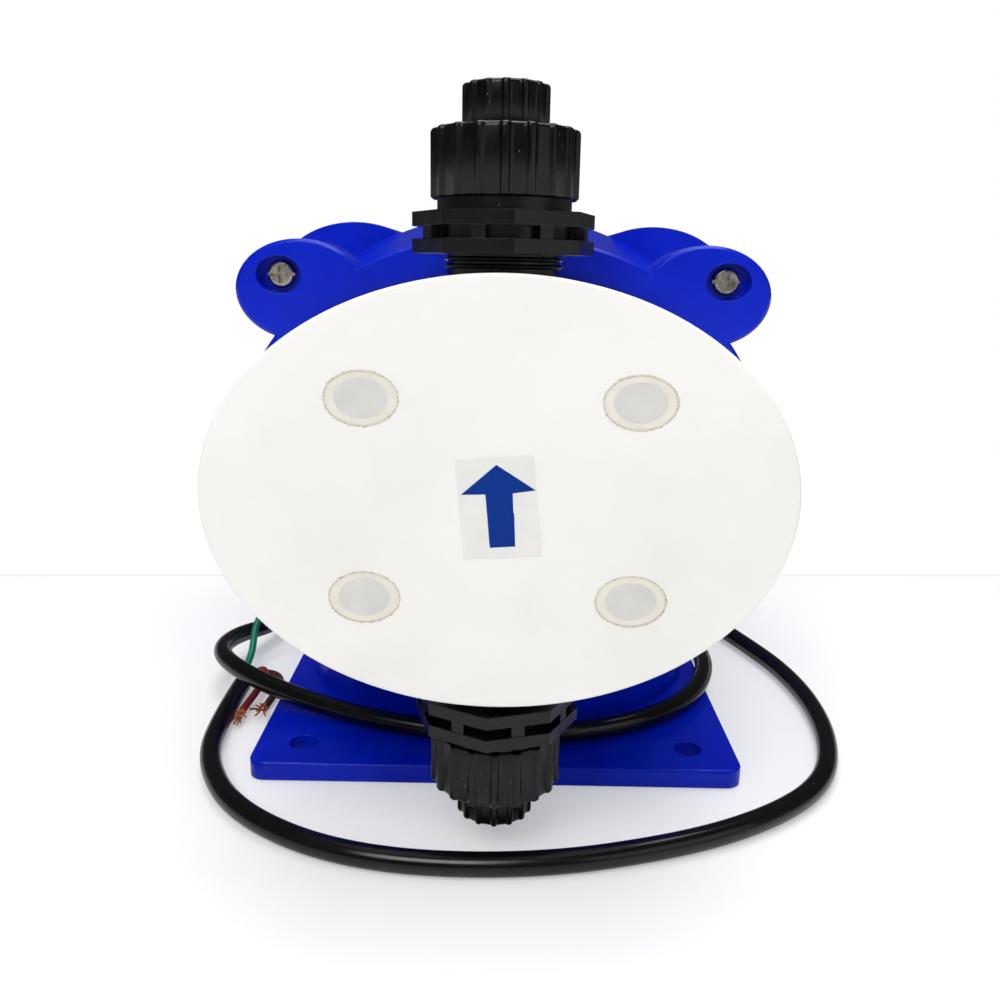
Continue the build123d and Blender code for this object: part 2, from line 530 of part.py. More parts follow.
def valve(side):
    """side = 1 for the discharge valve on top, -1 for the suction valve below."""
    chamber_r = BALL_R + 0.35
    chamber_h = 2 * BALL_R + BALL_LIFT + 0.6
    body = valve_body()
    if side > 0:
        base = -THREAD_IN
        body -= rod_z(WATERWAY_R, base, Z_SPIGOT)
        body -= rod_z(chamber_r + 2.0, base, base + SEAT_H)
        body -= rod_z(chamber_r, base + SEAT_H, base + SEAT_H + chamber_h)
        seat = rod_z(chamber_r + 1.9, base, base + SEAT_H) - rod_z(WATERWAY_R, base, base + SEAT_H)
        ball_z = base + SEAT_H + math.sqrt(BALL_R ** 2 - WATERWAY_R ** 2) + 0.05
    else:
        top = Z_SPIGOT
        body -= rod_z(WATERWAY_R, -THREAD_IN, top)
        body -= rod_z(chamber_r + 2.0, top - SEAT_H, top)
        body -= rod_z(chamber_r, top - SEAT_H - chamber_h, top - SEAT_H)
        seat = rod_z(chamber_r + 1.9, top - SEAT_H, top) - rod_z(WATERWAY_R, top - SEAT_H, top)
        ball_z = top - SEAT_H - math.sqrt(BALL_R ** 2 - WATERWAY_R ** 2) - 0.05
    ball = Pos(0, 0, ball_z) * Sphere(BALL_R)
    place = Pos(0, PORT_Y, DRIVE_Z + side * HEAD_RZ)
    if side < 0:
        place = place * Rot(180, 0, 0)
    names = ("body", "seat", "ball", "seal", "union_nut", "hose_nipple", "tube_nut")
    solids = (body, seat, ball, seal_ring(), union_nut(), hose_nipple(), tube_nut())
    return {name: place * solid for name, solid in zip(names, solids)}


# ---------------------------------------------------------------- mains cable
CABLE_ROUTE = [
    (GLAND_X, REAR_FACE_Y + 15.0, GLAND_Z), (GLAND_X, 126, GLAND_Z), (-41, 150, 68), (-54, 164, 38),
    (-77, 166, 12), (-100, 146, 3.2), (-114, 114, 3.2), (-117, 76, 3.2), (-112, 38, 3.6),
    (-103, 6, 7.5), (-104, -24, 13.5), (-90, -46, 13.8), (-66, -61, 10.4), (-34, -75, 9.1),
    (2, -82, 9.1), (38, -76, 9.1), (66, -57, 9.1), (79, -30, 9.1), (80.5, 0, 6.4),
    (80, 40, 3.4), (80, 78, 3.2), (76, 112, 3.2), (64, 138, 3.2), (62, 166, 3.2),
    (82, 188, 3.2), (110, 184, 3.2), (126, 158, 3.2), (127, 122, 3.2), (117, 84, 3.2),
    (103, 48, 3.2), (101, 16, 3.2), (111.5, -14, 3.2), (114.5, -44, 3.2), (111, -72, 3.2),
    (101.5, -96, 3.2), (82, -114, 3.2), (52, -129, 3.2), (8, -140, 3.2), (-38, -137.5, 3.2),
    (-72, -118, 3.2), (-89, -90, 3.2), (-92.5, -62, 3.2), (-92.5, -36, 3.2)]
GREEN_ROUTE = [(-93.2, -36, 4.6), (-93.2, -28, 4.6), (-88.5, -18, 3.6), (-91, -7, 2.2), (-96, 4, 1.4)]
RED_ROUTE = [(-90.9, -36, 3.0), (-90.9, -28.5, 3.0), (-84, -24.5, 4), (-79.2, -32, 3.6), (-81.5, -43, 2.2),
             (-85, -53, 1.4)]
BROWN_ROUTE = [(-93.8, -36, 1.9), (-93.8, -28.5, 1.9), (-100.8, -25.5, 1.5), (-103.5, -34, 1.5),
               (-101, -44, 1.5), (-103, -54, 1.5)]


def smooth_line(points):
    """Straight runs joined by tangent arcs, each as large as its two runs allow."""
    places = [Vector(*p) for p in points]
    radii = []
    for a, b, c in zip(places, places[1:], places[2:]):
        turn = math.radians((b - a).get_angle(c - b))
        radii.append(0.45 * min((b - a).length, (c - b).length) / math.tan(turn / 2))
    return FilletPolyline(*places, radius=radii), radii


def tube(points, r, name):
    line, radii = smooth_line(points)
    section = Plane(origin=line @ 0, z_dir=line % 0) * Circle(r)
    solid = sweep(section, path=line)
    print(name, "length", round(line.length, 1), "smallest radius", round(min(radii), 1),
          "volume ratio", round(solid.volume / (math.pi * r * r * line.length), 4))
    return solid


# ---------------------------------------------------------------- write the parts
def main():
    os.makedirs("parts", exist_ok=True)
    single = {
        "base_plate": base_plate, "pump_housing": pump_housing, "pedestal": pedestal, "front_cover": front_cover,
        "rear_cover": rear_cover, "spindle_nut": spindle_nut, "stroke_spindle": stroke_spindle,
        "stroke_knob": stroke_knob, "rate_knob": rate_knob, "rate_control": rate_control,
        "power_switch": power_switch, "switch_rocker": switch_rocker, "power_lamp": power_lamp,
        "circuit_board": circuit_board, "cable_gland": cable_gland, "solenoid_frame": solenoid_frame,
        "solenoid_end_plate": solenoid_end_plate, "shaft_bush": shaft_bush, "coil_bobbin": coil_bobbin,
        "coil_winding": coil_winding, "armature": armature, "plunger_shaft": plunger_shaft,
        "return_spring": return_spring, "head_adapter": head_adapter, "diaphragm": diaphragm,
        "diaphragm_core": diaphragm_core, "pump_head": pump_head, "flow_label": flow_label}
    for name, make in single.items():
        save(name, make())
    groups = {
        "base_screws": base_screws, "front_cover_screws": front_cover_screws,
        "rear_cover_screws": rear_cover_screws, "board_posts": board_posts,
        "head_bolts": head_bolts, "bolt_plugs": bolt_plugs}
    for name, make in groups.items():
        save(name, four(make()))
    for prefix, side in (("discharge", 1), ("suction", -1)):
        for name, solid in valve(side).items():
            save(prefix + "_" + name, solid)
    save("mains_cable", tube(CABLE_ROUTE, CABLE_R, "mains_cable"))
    save("core_green", tube(GREEN_ROUTE, CORE_WIRE_R, "core_green"))
    save("core_red", tube(RED_ROUTE, CORE_WIRE_R, "core_red"))
    save("core_brown", tube(BROWN_ROUTE, CORE_WIRE_R, "core_brown"))


main()
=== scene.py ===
"""Diaphragm metering pump: finishes, cords, fittings detail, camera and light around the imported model."""
import json
import math
import random

import bmesh
import bpy
from mathutils import Matrix, Vector
from mathutils.geometry import tessellate_polygon


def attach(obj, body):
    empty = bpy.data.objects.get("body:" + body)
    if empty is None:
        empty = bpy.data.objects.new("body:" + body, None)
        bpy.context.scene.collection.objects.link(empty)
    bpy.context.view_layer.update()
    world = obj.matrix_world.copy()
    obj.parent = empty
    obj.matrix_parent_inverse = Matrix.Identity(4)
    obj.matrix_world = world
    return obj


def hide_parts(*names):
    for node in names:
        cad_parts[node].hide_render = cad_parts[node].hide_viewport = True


MM = 0.001

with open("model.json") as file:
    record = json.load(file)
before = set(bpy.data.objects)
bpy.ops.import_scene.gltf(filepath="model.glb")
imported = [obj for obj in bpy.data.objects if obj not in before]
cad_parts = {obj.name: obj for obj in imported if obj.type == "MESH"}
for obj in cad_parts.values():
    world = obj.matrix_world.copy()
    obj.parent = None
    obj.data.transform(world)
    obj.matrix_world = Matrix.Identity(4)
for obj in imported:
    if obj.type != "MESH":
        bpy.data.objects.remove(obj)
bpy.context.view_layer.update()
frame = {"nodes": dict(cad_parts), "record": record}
nodes = frame["nodes"]

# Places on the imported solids, in millimetres
PORT_Y = -122.0
DRIVE_Z = 100.5
HEAD_RZ = 50.2
HEAD_FRONT = -145.5
REAR_FACE = 88.0
PLUGS = [(sx * 30.7, DRIVE_Z + sz * 23.0) for sz in (1, -1) for sx in (-1, 1)]


# ---------------------------------------------------------------- camera
LENS = 33.84                     # mm on a 36 mm sensor
EYE = Vector((0.57, -350.1, 152.2)) * MM
PITCH, YAW, ROLL = math.radians(14.0), math.radians(0.11), math.radians(1.0)


def make_camera():
    data = bpy.data.cameras.new("camera")
    data.lens = LENS
    data.sensor_width = 36.0
    data.sensor_fit = "HORIZONTAL"
    data.clip_start = 0.01
    camera = bpy.data.objects.new("camera", data)
    turn = (Matrix.Rotation(YAW, 4, "Z") @ Matrix.Rotation(math.pi / 2 - PITCH, 4, "X")
            @ Matrix.Rotation(ROLL, 4, "Z"))
    camera.matrix_world = Matrix.Translation(EYE) @ turn
    bpy.context.scene.collection.objects.link(camera)
    bpy.context.scene.camera = camera


# ---------------------------------------------------------------- colour and node helpers
def linear(hex_value, alpha=1.0):
    """sRGB hex to linear RGBA."""
    channels = []
    for shift in (16, 8, 0):
        c = ((hex_value >> shift) & 255) / 255
        channels.append(c / 12.92 if c <= 0.04045 else ((c + 0.055) / 1.055) ** 2.4)
    return (*channels, alpha)


def add(tree, kind, values=None, links=None, **settings):
    """Add a node, set its properties and inputs, and link sockets into it."""
    made = tree.nodes.new(kind)
    for key, value in settings.items():
        setattr(made, key, value)
    for key, value in (values or {}).items():
        made.inputs[key].default_value = value
    for key, socket in (links or {}).items():
        tree.links.new(socket, made.inputs[key])
    return made


def new_material(name):
    material = bpy.data.materials.new(name)
    material.use_nodes = True
    tree = material.node_tree
    shader = tree.nodes["Principled BSDF"]
    place = add(tree, "ShaderNodeTexCoord").outputs["Object"]
    return material, tree, shader, place


def ramp(tree, factor, stops):
    made = add(tree, "ShaderNodeValToRGB", links={"Fac": factor})
    elements = made.color_ramp.elements
    while len(elements) < len(stops):
        elements.new(0.5)
    for element, (position, colour) in zip(elements, stops):
        element.position = position
        element.color = colour
    return made.outputs["Color"]


def bump(tree, shader, height, distance, strength=1.0, edge_mm=0.0):
    """Fine relief; edge_mm also rounds the light on sharp edges, as on a moulding."""
    made = add(tree, "ShaderNodeBump", {"Strength": strength, "Distance": distance}, {"Height": height})
    if edge_mm:
        soft = add(tree, "ShaderNodeBevel", {"Radius": edge_mm * MM}, samples=6)
        tree.links.new(soft.outputs["Normal"], made.inputs["Normal"])
    tree.links.new(made.outputs["Normal"], shader.inputs["Normal"])


def noise(tree, place, size_mm, detail=3.0, roughness=0.5):
    """Noise whose features are about size_mm across."""
    made = add(tree, "ShaderNodeTexNoise",
               {"Scale": 1 / (size_mm * MM), "Detail": detail, "Roughness": roughness}, {"Vector": place})
    return made.outputs["Fac"]


# ---------------------------------------------------------------- materials
SPECK_PITCH = 2.1                # mm between the places where a dust speck may lie
SPECK_R = 0.075                  # share of that pitch


def moulded(name, colour, shade, rough, speck=None, speck_share=0.66, grain=0.35, edge_mm=0.0, shine=0.5):
    """Injection-moulded plastic: slight colour drift, fine orange peel, dust specks and uneven gloss."""
    material, tree, shader, place = new_material(name)
    drift = noise(tree, place, 22.0, 2.0)
    base = ramp(tree, drift, [(0.30, linear(shade)), (0.70, linear(colour))])
    if speck is not None:
        dots = add(tree, "ShaderNodeTexVoronoi", {"Scale": 1 / (SPECK_PITCH * MM), "Randomness": 1.0},
                   {"Vector": place})
        near = add(tree, "ShaderNodeMath", {1: SPECK_R}, {0: dots.outputs["Distance"]}, operation="LESS_THAN")
        patchy = add(tree, "ShaderNodeMath", {1: speck_share}, {0: noise(tree, place, 5.0)},
                     operation="GREATER_THAN")
        both = add(tree, "ShaderNodeMath", links={0: near.outputs[0], 1: patchy.outputs[0]},
                   operation="MULTIPLY")
        mix = add(tree, "ShaderNodeMix", data_type="RGBA", links={"Factor": both.outputs[0], 6: base})
        mix.inputs[7].default_value = linear(speck)
        base = mix.outputs[2]
    tree.links.new(base, shader.inputs["Base Color"])
    gloss = add(tree, "ShaderNodeMapRange", {"From Min": 0.3, "From Max": 0.7, "To Min": rough * 0.8,
                                             "To Max": rough * 1.25}, {"Value": noise(tree, place, 9.0)})
    tree.links.new(gloss.outputs["Result"], shader.inputs["Roughness"])
    shader.inputs["IOR"].default_value = 1.5
    shader.inputs["Specular IOR Level"].default_value = shine
    bump(tree, shader, noise(tree, place, grain, 2.0), 0.00003, 0.35, edge_mm)
    return material


def blue_abs():
    """Gloss blue ABS, moulded: deep saturated colour, bright soft highlights, light scuffs."""
    return moulded("blue_abs", 0x0026C8, 0x001CB8, 0.20, speck=0x6F86E0, speck_share=0.70, grain=1.2,
                   edge_mm=0.5, shine=0.22)


def white_ptfe():
    """Machined PTFE: waxy white, satin, very faint turning marks and clouding."""
    material, tree, shader, place = new_material("white_ptfe")
    cloud = noise(tree, place, 40.0, 4.0, 0.6)
    base = ramp(tree, cloud, [(0.30, linear(0xEFEDE9)), (0.65, linear(0xF6F5F2))])
    tree.links.new(base, shader.inputs["Base Color"])
    shader.inputs["Roughness"].default_value = 0.42
    shader.inputs["IOR"].default_value = 1.35
    shader.inputs["Subsurface Weight"].default_value = 0.12
    shader.inputs["Subsurface Radius"].default_value = (0.004, 0.004, 0.0035)
    shader.inputs["Subsurface Scale"].default_value = 0.5
    marks = add(tree, "ShaderNodeTexWave", {"Scale": 1 / (1.6 * MM) / 6.28, "Distortion": 1.0, "Detail": 1.0},
                {"Vector": place}, wave_type="BANDS", bands_direction="Z")
    blend = add(tree, "ShaderNodeMath", links={0: marks.outputs["Fac"], 1: noise(tree, place, 1.4)},
                operation="ADD")
    bump(tree, shader, blend.outputs[0], 0.00001, 0.25, 0.4)
    return material


def plug_pe():
    """Translucent polyethylene plug: milky, lets some of the dark bolt well through."""
    material, tree, shader, place = new_material("plug_pe")
    base = ramp(tree, noise(tree, place, 6.0), [(0.3, linear(0xE4DFD2)), (0.7, linear(0xEEEADF))])
    tree.links.new(base, shader.inputs["Base Color"])
    shader.inputs["Roughness"].default_value = 0.38
    shader.inputs["Subsurface Weight"].default_value = 0.25
    shader.inputs["Subsurface Radius"].default_value = (0.003, 0.003, 0.003)
    shader.inputs["Subsurface Scale"].default_value = 0.5
    bump(tree, shader, noise(tree, place, 0.8), 0.00002, 0.3)
    return material


def plug_core_painted_shade():
    """Thin middle of the plug over the bolt well, greyer: painted shade that stands in for the dark well seen
    through the thin plastic.
    """
    material, tree, shader, place = new_material("plug_core_painted_shade")
    base = ramp(tree, noise(tree, place, 7.0), [(0.3, linear(0xCFCECB)), (0.7, linear(0xDAD9D6))])
    tree.links.new(base, shader.inputs["Base Color"])
    shader.inputs["Roughness"].default_value = 0.35
    return material


def plug_grime():
    """Tan dirt packed in the joint round each plug, broken and with dark grains."""
    material, tree, shader, place = new_material("plug_grime")
    base = ramp(tree, noise(tree, place, 0.7, 4.0, 0.7),
                [(0.34, linear(0x7A6344)), (0.42, linear(0xCBBFA4)), (0.54, linear(0xDDD5C3)),
                 (0.64, linear(0xEDEAE2))])
    tree.links.new(base, shader.inputs["Base Color"])
    shader.inputs["Roughness"].default_value = 0.8
    return material


def metal(name, colour, shade, rough, grain_mm=0.4, stretch=(1, 1, 1), metallic=1.0):
    """Plated or turned metal: streaked roughness and small tonal drift."""
    material, tree, shader, place = new_material(name)
    mapped = add(tree, "ShaderNodeMapping", {"Scale": stretch}, {"Vector": place}).outputs["Vector"]
    base = ramp(tree, noise(tree, mapped, 2.5, 4.0, 0.65), [(0.32, linear(shade)), (0.62, linear(colour))])
    tree.links.new(base, shader.inputs["Base Color"])
    shader.inputs["Metallic"].default_value = metallic
    gloss = add(tree, "ShaderNodeMapRange",
                {"From Min": 0.3, "From Max": 0.7, "To Min": rough * 0.75, "To Max": rough * 1.35},
                {"Value": noise(tree, mapped, grain_mm)})
    tree.links.new(gloss.outputs["Result"], shader.inputs["Roughness"])
    bump(tree, shader, noise(tree, mapped, grain_mm), 0.00002, 0.4)
    return material


def clear_film():
    """Clear self-adhesive film: barely grey, glossier than the PTFE under it."""
    material, tree, shader, place = new_material("label_film")
    base = ramp(tree, noise(tree, place, 6.0), [(0.3, linear(0xE4E3E0)), (0.7, linear(0xEBEAE7))])
    tree.links.new(base, shader.inputs["Base Color"])
    shader.inputs["Roughness"].default_value = 0.16
    bump(tree, shader, noise(tree, place, 4.0, 2.0), 0.00008, 0.3)
    return material


def lamp_lens():
    material, tree, shader, place = new_material("lamp_green")
    base = ramp(tree, noise(tree, place, 2.0), [(0.3, linear(0x1F9A44)), (0.7, linear(0x2BB554))])
    tree.links.new(base, shader.inputs["Base Color"])
    shader.inputs["Roughness"].default_value = 0.12
    shader.inputs["Transmission Weight"].default_value = 0.35
    return material


def cable_pvc():
    """Extruded black PVC sheath: high gloss with faint long ripples, dust and scuffs."""
    return moulded("cable_pvc", 0x0E0F0F, 0x080909, 0.20, speck=0x5A5A58, speck_share=0.62, grain=2.5,
                   shine=0.45)


def wire_skin(name, colour, shade):
    return moulded(name, colour, shade, 0.34, grain=0.8)


MATERIALS = {
    "blue_abs": blue_abs(),
    "grey_pp": moulded("grey_pp", 0x5A5C5E, 0x505254, 0.45),
    "white_ptfe": white_ptfe(),
    "plug_pe": plug_pe(),
    "label_film": clear_film(),
    "zinc_steel": metal("zinc_steel", 0xB9B4A8, 0x7D766A, 0.30, 0.5),
    "steel": metal("steel", 0xB4B6B8, 0x8C8E90, 0.28, 0.3, (1, 6, 1)),
    "painted_steel": moulded("painted_steel", 0x2A2B2D, 0x1E1F20, 0.4, grain=0.6),
    "brass": metal("brass", 0xD4B069, 0xA88545, 0.25),
    "copper": metal("copper", 0xE29A6A, 0xB06A44, 0.42, 0.3, (1, 9, 1), metallic=0.55),
    "black_nylon": moulded("black_nylon", 0x0B0B0B, 0x050505, 0.27, speck=0x6E6E68, speck_share=0.56,
                           grain=0.6, edge_mm=0.25, shine=0.32),
    "rocker_red": moulded("rocker_red", 0xB01717, 0x9A1111, 0.25),
    "lamp_green": lamp_lens(),
    "board_green": moulded("board_green", 0x1F6B3A, 0x17552D, 0.35),
    "bobbin_white": moulded("bobbin_white", 0xDAD8CC, 0xCFCDC0, 0.45),
    "rubber_black": moulded("rubber_black", 0x242424, 0x1A1A1A, 0.6),
    "ceramic_white": moulded("ceramic_white", 0xF2F1EC, 0xE8E7E0, 0.12),
    "cable_pvc": cable_pvc(),
    "core_green": wire_skin("core_green", 0x0C8A5E, 0x077048),
    "core_red": wire_skin("core_red", 0x8C2A1C, 0x6E1E14),
    "core_brown": wire_skin("core_brown", 0x5A3220, 0x432417),
    "plug_core_painted_shade": plug_core_painted_shade(),
    "plug_grime": plug_grime(),
    "arrow_blue": moulded("arrow_blue", 0x00328A, 0x002472, 0.35, grain=0.9, shine=0.12),
    "dial_ink": moulded("dial_ink", 0xF0F0F0, 0xE4E4E4, 0.5),
}


def finish_cad_nodes():
    for part in frame["record"]["subparts"]:
        data = nodes[part["node"]].data
        data.materials.clear()
        data.materials.append(MATERIALS[part["material_slot"]])


# ---------------------------------------------------------------- mesh helpers
def place_piece(name, mesh_or_curve, material, body="housing"):
    piece = bpy.data.objects.new(name, mesh_or_curve)
    bpy.context.scene.collection.objects.link(piece)
    piece.data.materials.append(MATERIALS[material])
    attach(piece, body)
    return piece


def mesh_from(bm, name, smooth_angle=35.0):
    bmesh.ops.remove_doubles(bm, verts=bm.verts, dist=1e-7)
    bmesh.ops.recalc_face_normals(bm, faces=bm.faces)
    mesh = bpy.data.meshes.new(name)
    bm.to_mesh(mesh)
    bm.free()
    mesh.shade_smooth()
    mesh.set_sharp_from_angle(angle=math.radians(smooth_angle))
    return mesh


# ---------------------------------------------------------------- cords
CABLE_D = 6.4 * MM
CORE_D = 2.6 * MM
STRANDS, STRAND_R = 19, 0.30
TABLE_CLEAR = 0.3                              # least height of a strand's points
GLAND = (-36.0, 103.0, 84.0)
CABLE_ROUTE = [                                # x, y, z in mm, from the gland to the cut end
    GLAND, (-36, 126, 84), (-41, 150, 68), (-54, 164, 38),
    (-77, 166, 12), (-98, 148, 3.2), (-106, 114, 3.2), (-99, 76, 3.2), (-90, 42, 3.6),
    (-92, 12, 7.5), (-102, -10, 11.5), (-102, -31, 13.8), (-89, -48, 13.8), (-66, -61, 10.4), (-34, -75, 9.1),
    (2, -82, 9.1), (37, -76, 9.1), (64, -57, 9.1), (77, -30, 9.1), (79.5, 0, 6.4),
    (80, 40, 3.4), (80, 78, 3.2), (76, 112, 3.2), (64, 138, 3.2), (62, 166, 3.2),
    (82, 188, 3.2), (108, 184, 3.2), (119, 158, 3.2), (109, 126, 3.2), (96, 96, 3.2),
    (90, 64, 3.2), (92, 36, 3.2), (101, 12, 3.2), (109.5, -15, 3.2), (112, -44, 3.2), (108.5, -72, 3.2),
    (99, -96, 3.2), (80, -114, 3.2), (51, -129, 3.2), (8, -140, 3.2), (-38, -137.5, 3.2),
    (-72, -118, 3.2), (-89, -90, 3.2), (-92.5, -62, 3.2), (-92.5, -36, 3.2)]
CORE_ROUTES = {
    "green": [(-93.2, -36, 4.6), (-93.2, -29, 5.5), (-93, -18, 8.5), (-94.5, -8, 14.5), (-93, 2, 18),
              (-87, 7, 19.5)],
    "red": [(-90.9, -36, 3.0), (-90.9, -28.5, 3.0), (-87.5, -24.0, 4.5), (-84.8, -31, 4.6), (-85.4, -42, 3.4),
            (-87.4, -54, 2.2)],
    "brown": [(-93.8, -36, 1.9), (-93.8, -28.5, 1.9), (-88, -20.5, 1.5), (-80.5, -25, 1.5),
              (-79.4, -37, 1.5), (-80.6, -50, 1.5)]}


def cord_curve(name, route, diameter, material, resolution=12):
    data = bpy.data.curves.new(name, "CURVE")
    data.dimensions = "3D"
    data.bevel_depth = diameter / 2
    data.bevel_resolution = 8
    data.use_fill_caps = True
    spline = data.splines.new("NURBS")
    spline.points.add(len(route) - 1)
    for point, (x, y, z) in zip(spline.points, route):
        point.co = (x * MM, y * MM, z * MM, 1.0)
    spline.order_u = 3
    spline.use_endpoint_u = True
    spline.resolution_u = resolution
    return place_piece(name, data, material)


def make_cords():
    cable = cord_curve("mains_cable_sheath", CABLE_ROUTE, CABLE_D, "cable_pvc", 16)
    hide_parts("mains_cable")
    for colour, length in (("green", 0.0481), ("red", 0.0416), ("brown", 0.0485)):
        route = CORE_ROUTES[colour]
        core = cord_curve("core_wire_" + colour, route, CORE_D, "core_" + colour)
        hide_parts("core_" + colour)


def make_strands():
    """Bare copper strands spread at the end of each core."""
    chance = random.Random(11)
    for colour, route in CORE_ROUTES.items():
        before, tip = Vector(route[-2]), Vector(route[-1])
        ahead = (tip - before).normalized()
        data = bpy.data.curves.new("strands_" + colour, "CURVE")
        data.dimensions = "3D"
        data.bevel_depth = STRAND_R * MM
        data.bevel_resolution = 2
        data.use_fill_caps = True
        for i in range(STRANDS):
            turn = i * 2.4
            side = Vector((math.cos(turn), math.sin(turn), 0.0))
            root = tip - 0.8 * ahead + 0.75 * Vector((side.x, side.y * 0.4, side.y * 0.5))
            reach = chance.uniform(3.5, 9.0)
            stray = Vector((chance.uniform(-3.4, 3.4), chance.uniform(-2.6, 2.6),
                            chance.uniform(-0.4, 3.0)))
            run = [root, root + ahead * reach * 0.35, tip + ahead * reach * 0.7 + stray * 0.6,
                   tip + ahead * reach + stray]
            spline = data.splines.new("NURBS")
            spline.points.add(len(run) - 1)
            for point, place in zip(spline.points, run):
                point.co = (place.x * MM, place.y * MM, max(place.z, TABLE_CLEAR) * MM, 1.0)
            spline.order_u = 3
            spline.use_endpoint_u = True
            spline.resolution_u = 5
        place_piece("strands_" + colour, data, "copper")


# ---------------------------------------------------------------- fittings
# Depth of the flute across one rib's pitch, from crest to crest
RIB_WAVE = ((0.0, 0.0), (0.06, 0.0), (0.11, 0.08), (0.15, 0.42), (0.19, 0.80), (0.25, 0.95), (0.36, 1.0),
            (0.5, 1.0), (0.64, 1.0), (0.75, 0.95), (0.81, 0.80), (0.85, 0.42), (0.89, 0.08), (0.94, 0.0))
THREAD_SHOW, FLANGE_T, GROOVE_T, COLLAR_T = 4.0, 3.2, 2.8, 3.0
UNION_H, TUBE_NUT_H, NUT_GAP = 15.2, 9.6, 0.2
THREAD_ROOT_R, THREAD_R, THREAD_Z = 13.2, 14.0, (1.3, 2.9)
UNION_Z = THREAD_SHOW + 2 * FLANGE_T + GROOVE_T + COLLAR_T
TUBE_NUT_Z = UNION_Z + UNION_H


def valve_place(side):
    turn = Matrix.Identity(4) if side > 0 else Matrix.Rotation(math.pi, 4, "X")
    return Matrix.Translation(Vector((0, PORT_Y, DRIVE_Z + side * HEAD_RZ)) * MM) @ turn


def closed_rings(rows, name, place, smooth_angle=35.0):
    """Closed mesh from rings of equal length, the last joined to the first; rings hold (x, y, z) in mm."""
    bm = bmesh.new()
    rings = [[bm.verts.new((x * MM, y * MM, z * MM)) for x, y, z in row] for row in rows]
    count = len(rings[0])
    for a, b in zip(rings, rings[1:] + rings[:1]):
        for i in range(count):
            j = (i + 1) % count
            bm.faces.new((a[i], a[j], b[j], b[i]))
    bmesh.ops.transform(bm, matrix=place, verts=bm.verts)
    return mesh_from(bm, name, smooth_angle)


def ribbed_nut(name, node, body, side, z0, height, radius, ribs, depth, edge, bores):
    """Moulded nut with soft-edged flutes; bores lists (radius, height) of its inside from the top down."""
    turns = [(2 * math.pi * (i + share - 0.5) / ribs, cut) for i in range(ribs) for share, cut in RIB_WAVE]
    outside = [(z0, 0.45, 0.9), (z0 + 0.15, 0.15, 1.0), (z0 + 0.45, 0.0, 1.0), (z0 + height - edge, 0.0, 1.0),
               (z0 + height - 0.6 * edge, 0.10 * edge, 1.0), (z0 + height - 0.25 * edge, 0.34 * edge, 0.96),
               (z0 + height, 0.9 * edge, 0.85)]
    rows = []
    for z, inset, share in outside:
        reaches = [(t, radius - inset - depth * cut * share) for t, cut in turns]
        rows.append([(r * math.cos(t), r * math.sin(t), z) for t, r in reaches])
    rows += [[(r * math.cos(t), r * math.sin(t), z0 + h) for t, _ in turns] for r, h in bores]
    mesh = closed_rings(rows, name, valve_place(side), 40.0)
    piece = place_piece(name, mesh, "black_nylon", body=body)
    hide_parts(node)


def ring_of(profile, name, side, segments=96):
    rows = [[(r * math.cos(2 * math.pi * i / segments), r * math.sin(2 * math.pi * i / segments), z)
             for i in range(segments)] for r, z in profile]
    return closed_rings(rows, name, valve_place(side), 50.0)


def make_fittings():
    for prefix, side in (("discharge", 1), ("suction", -1)):
        ribbed_nut(prefix + "_union_grip", prefix + "_union_nut", prefix + "_union", side, z0=UNION_Z,
                   height=UNION_H, radius=17.2, ribs=18, depth=1.0, edge=1.1,
                   bores=[(9.0, UNION_H), (8.6, UNION_H - 0.4), (8.6, 11.8), (12.9, 11.8), (12.9, 0.0)])
        cap_h = TUBE_NUT_H - NUT_GAP
        ribbed_nut(prefix + "_cap_grip", prefix + "_tube_nut", prefix + "_hose_cap", side,
                   z0=TUBE_NUT_Z + NUT_GAP, height=cap_h, radius=10.1, ribs=14, depth=0.8, edge=0.9,
                   bores=[(3.7, cap_h), (3.1, TUBE_NUT_H - 0.8), (3.1, 6.6), (6.9, 6.6), (6.9, 0.0)])
        for i, z in enumerate(THREAD_Z):
            name = "%s_thread_%d" % (prefix, i)
            profile = [(THREAD_ROOT_R, z - 0.65), (THREAD_R, z - 0.12), (THREAD_R, z + 0.12),
                       (THREAD_ROOT_R, z + 0.65)]
            place_piece(name, ring_of(profile, name, side), "black_nylon")


# ---------------------------------------------------------------- head trim
def sheet(name, outline, y_front, y_back, material):
    """Flat piece facing front or back, from an outline of (x, z) in mm."""
    bm = bmesh.new()
    front = [bm.verts.new((x * MM, y_front * MM, z * MM)) for x, z in outline]
    back = [bm.verts.new((x * MM, y_back * MM, z * MM)) for x, z in outline]
    bm.faces.new(front)
    bm.faces.new(back[::-1])
    for i in range(len(outline)):
        j = (i + 1) % len(outline)
        bm.faces.new((front[i], back[i], back[j], front[j]))
    return place_piece(name, mesh_from(bm, name), material)


# Corners as (x, z) from the drive axis; both were cut and stuck on slightly askew
FILM = [(-9.97, 9.43), (7.50, 11.01), (9.75, -12.23), (-7.86, -13.42)]
ARROW = [(-0.78, 8.73), (3.7, 5.9), (8.12, 3.07), (2.99, 2.31), (3.25, -2.2), (3.42, -2.4), (3.81, -10.08),
         (-1.91, -10.50), (-2.1, -9.2), (-2.55, -4.0), (-3.14, 1.94), (-8.60, 1.75)]
PLUG_RX, PLUG_RZ = 8.25, 6.15
MIDDLE_RX, MIDDLE_RZ = 5.9, 4.5
DIRT_STEPS = 96


def oval_points(x, z, rx, rz, count=72):
    return [(x + rx * math.cos(2 * math.pi * i / count), z + rz * math.sin(2 * math.pi * i / count))
            for i in range(count)]


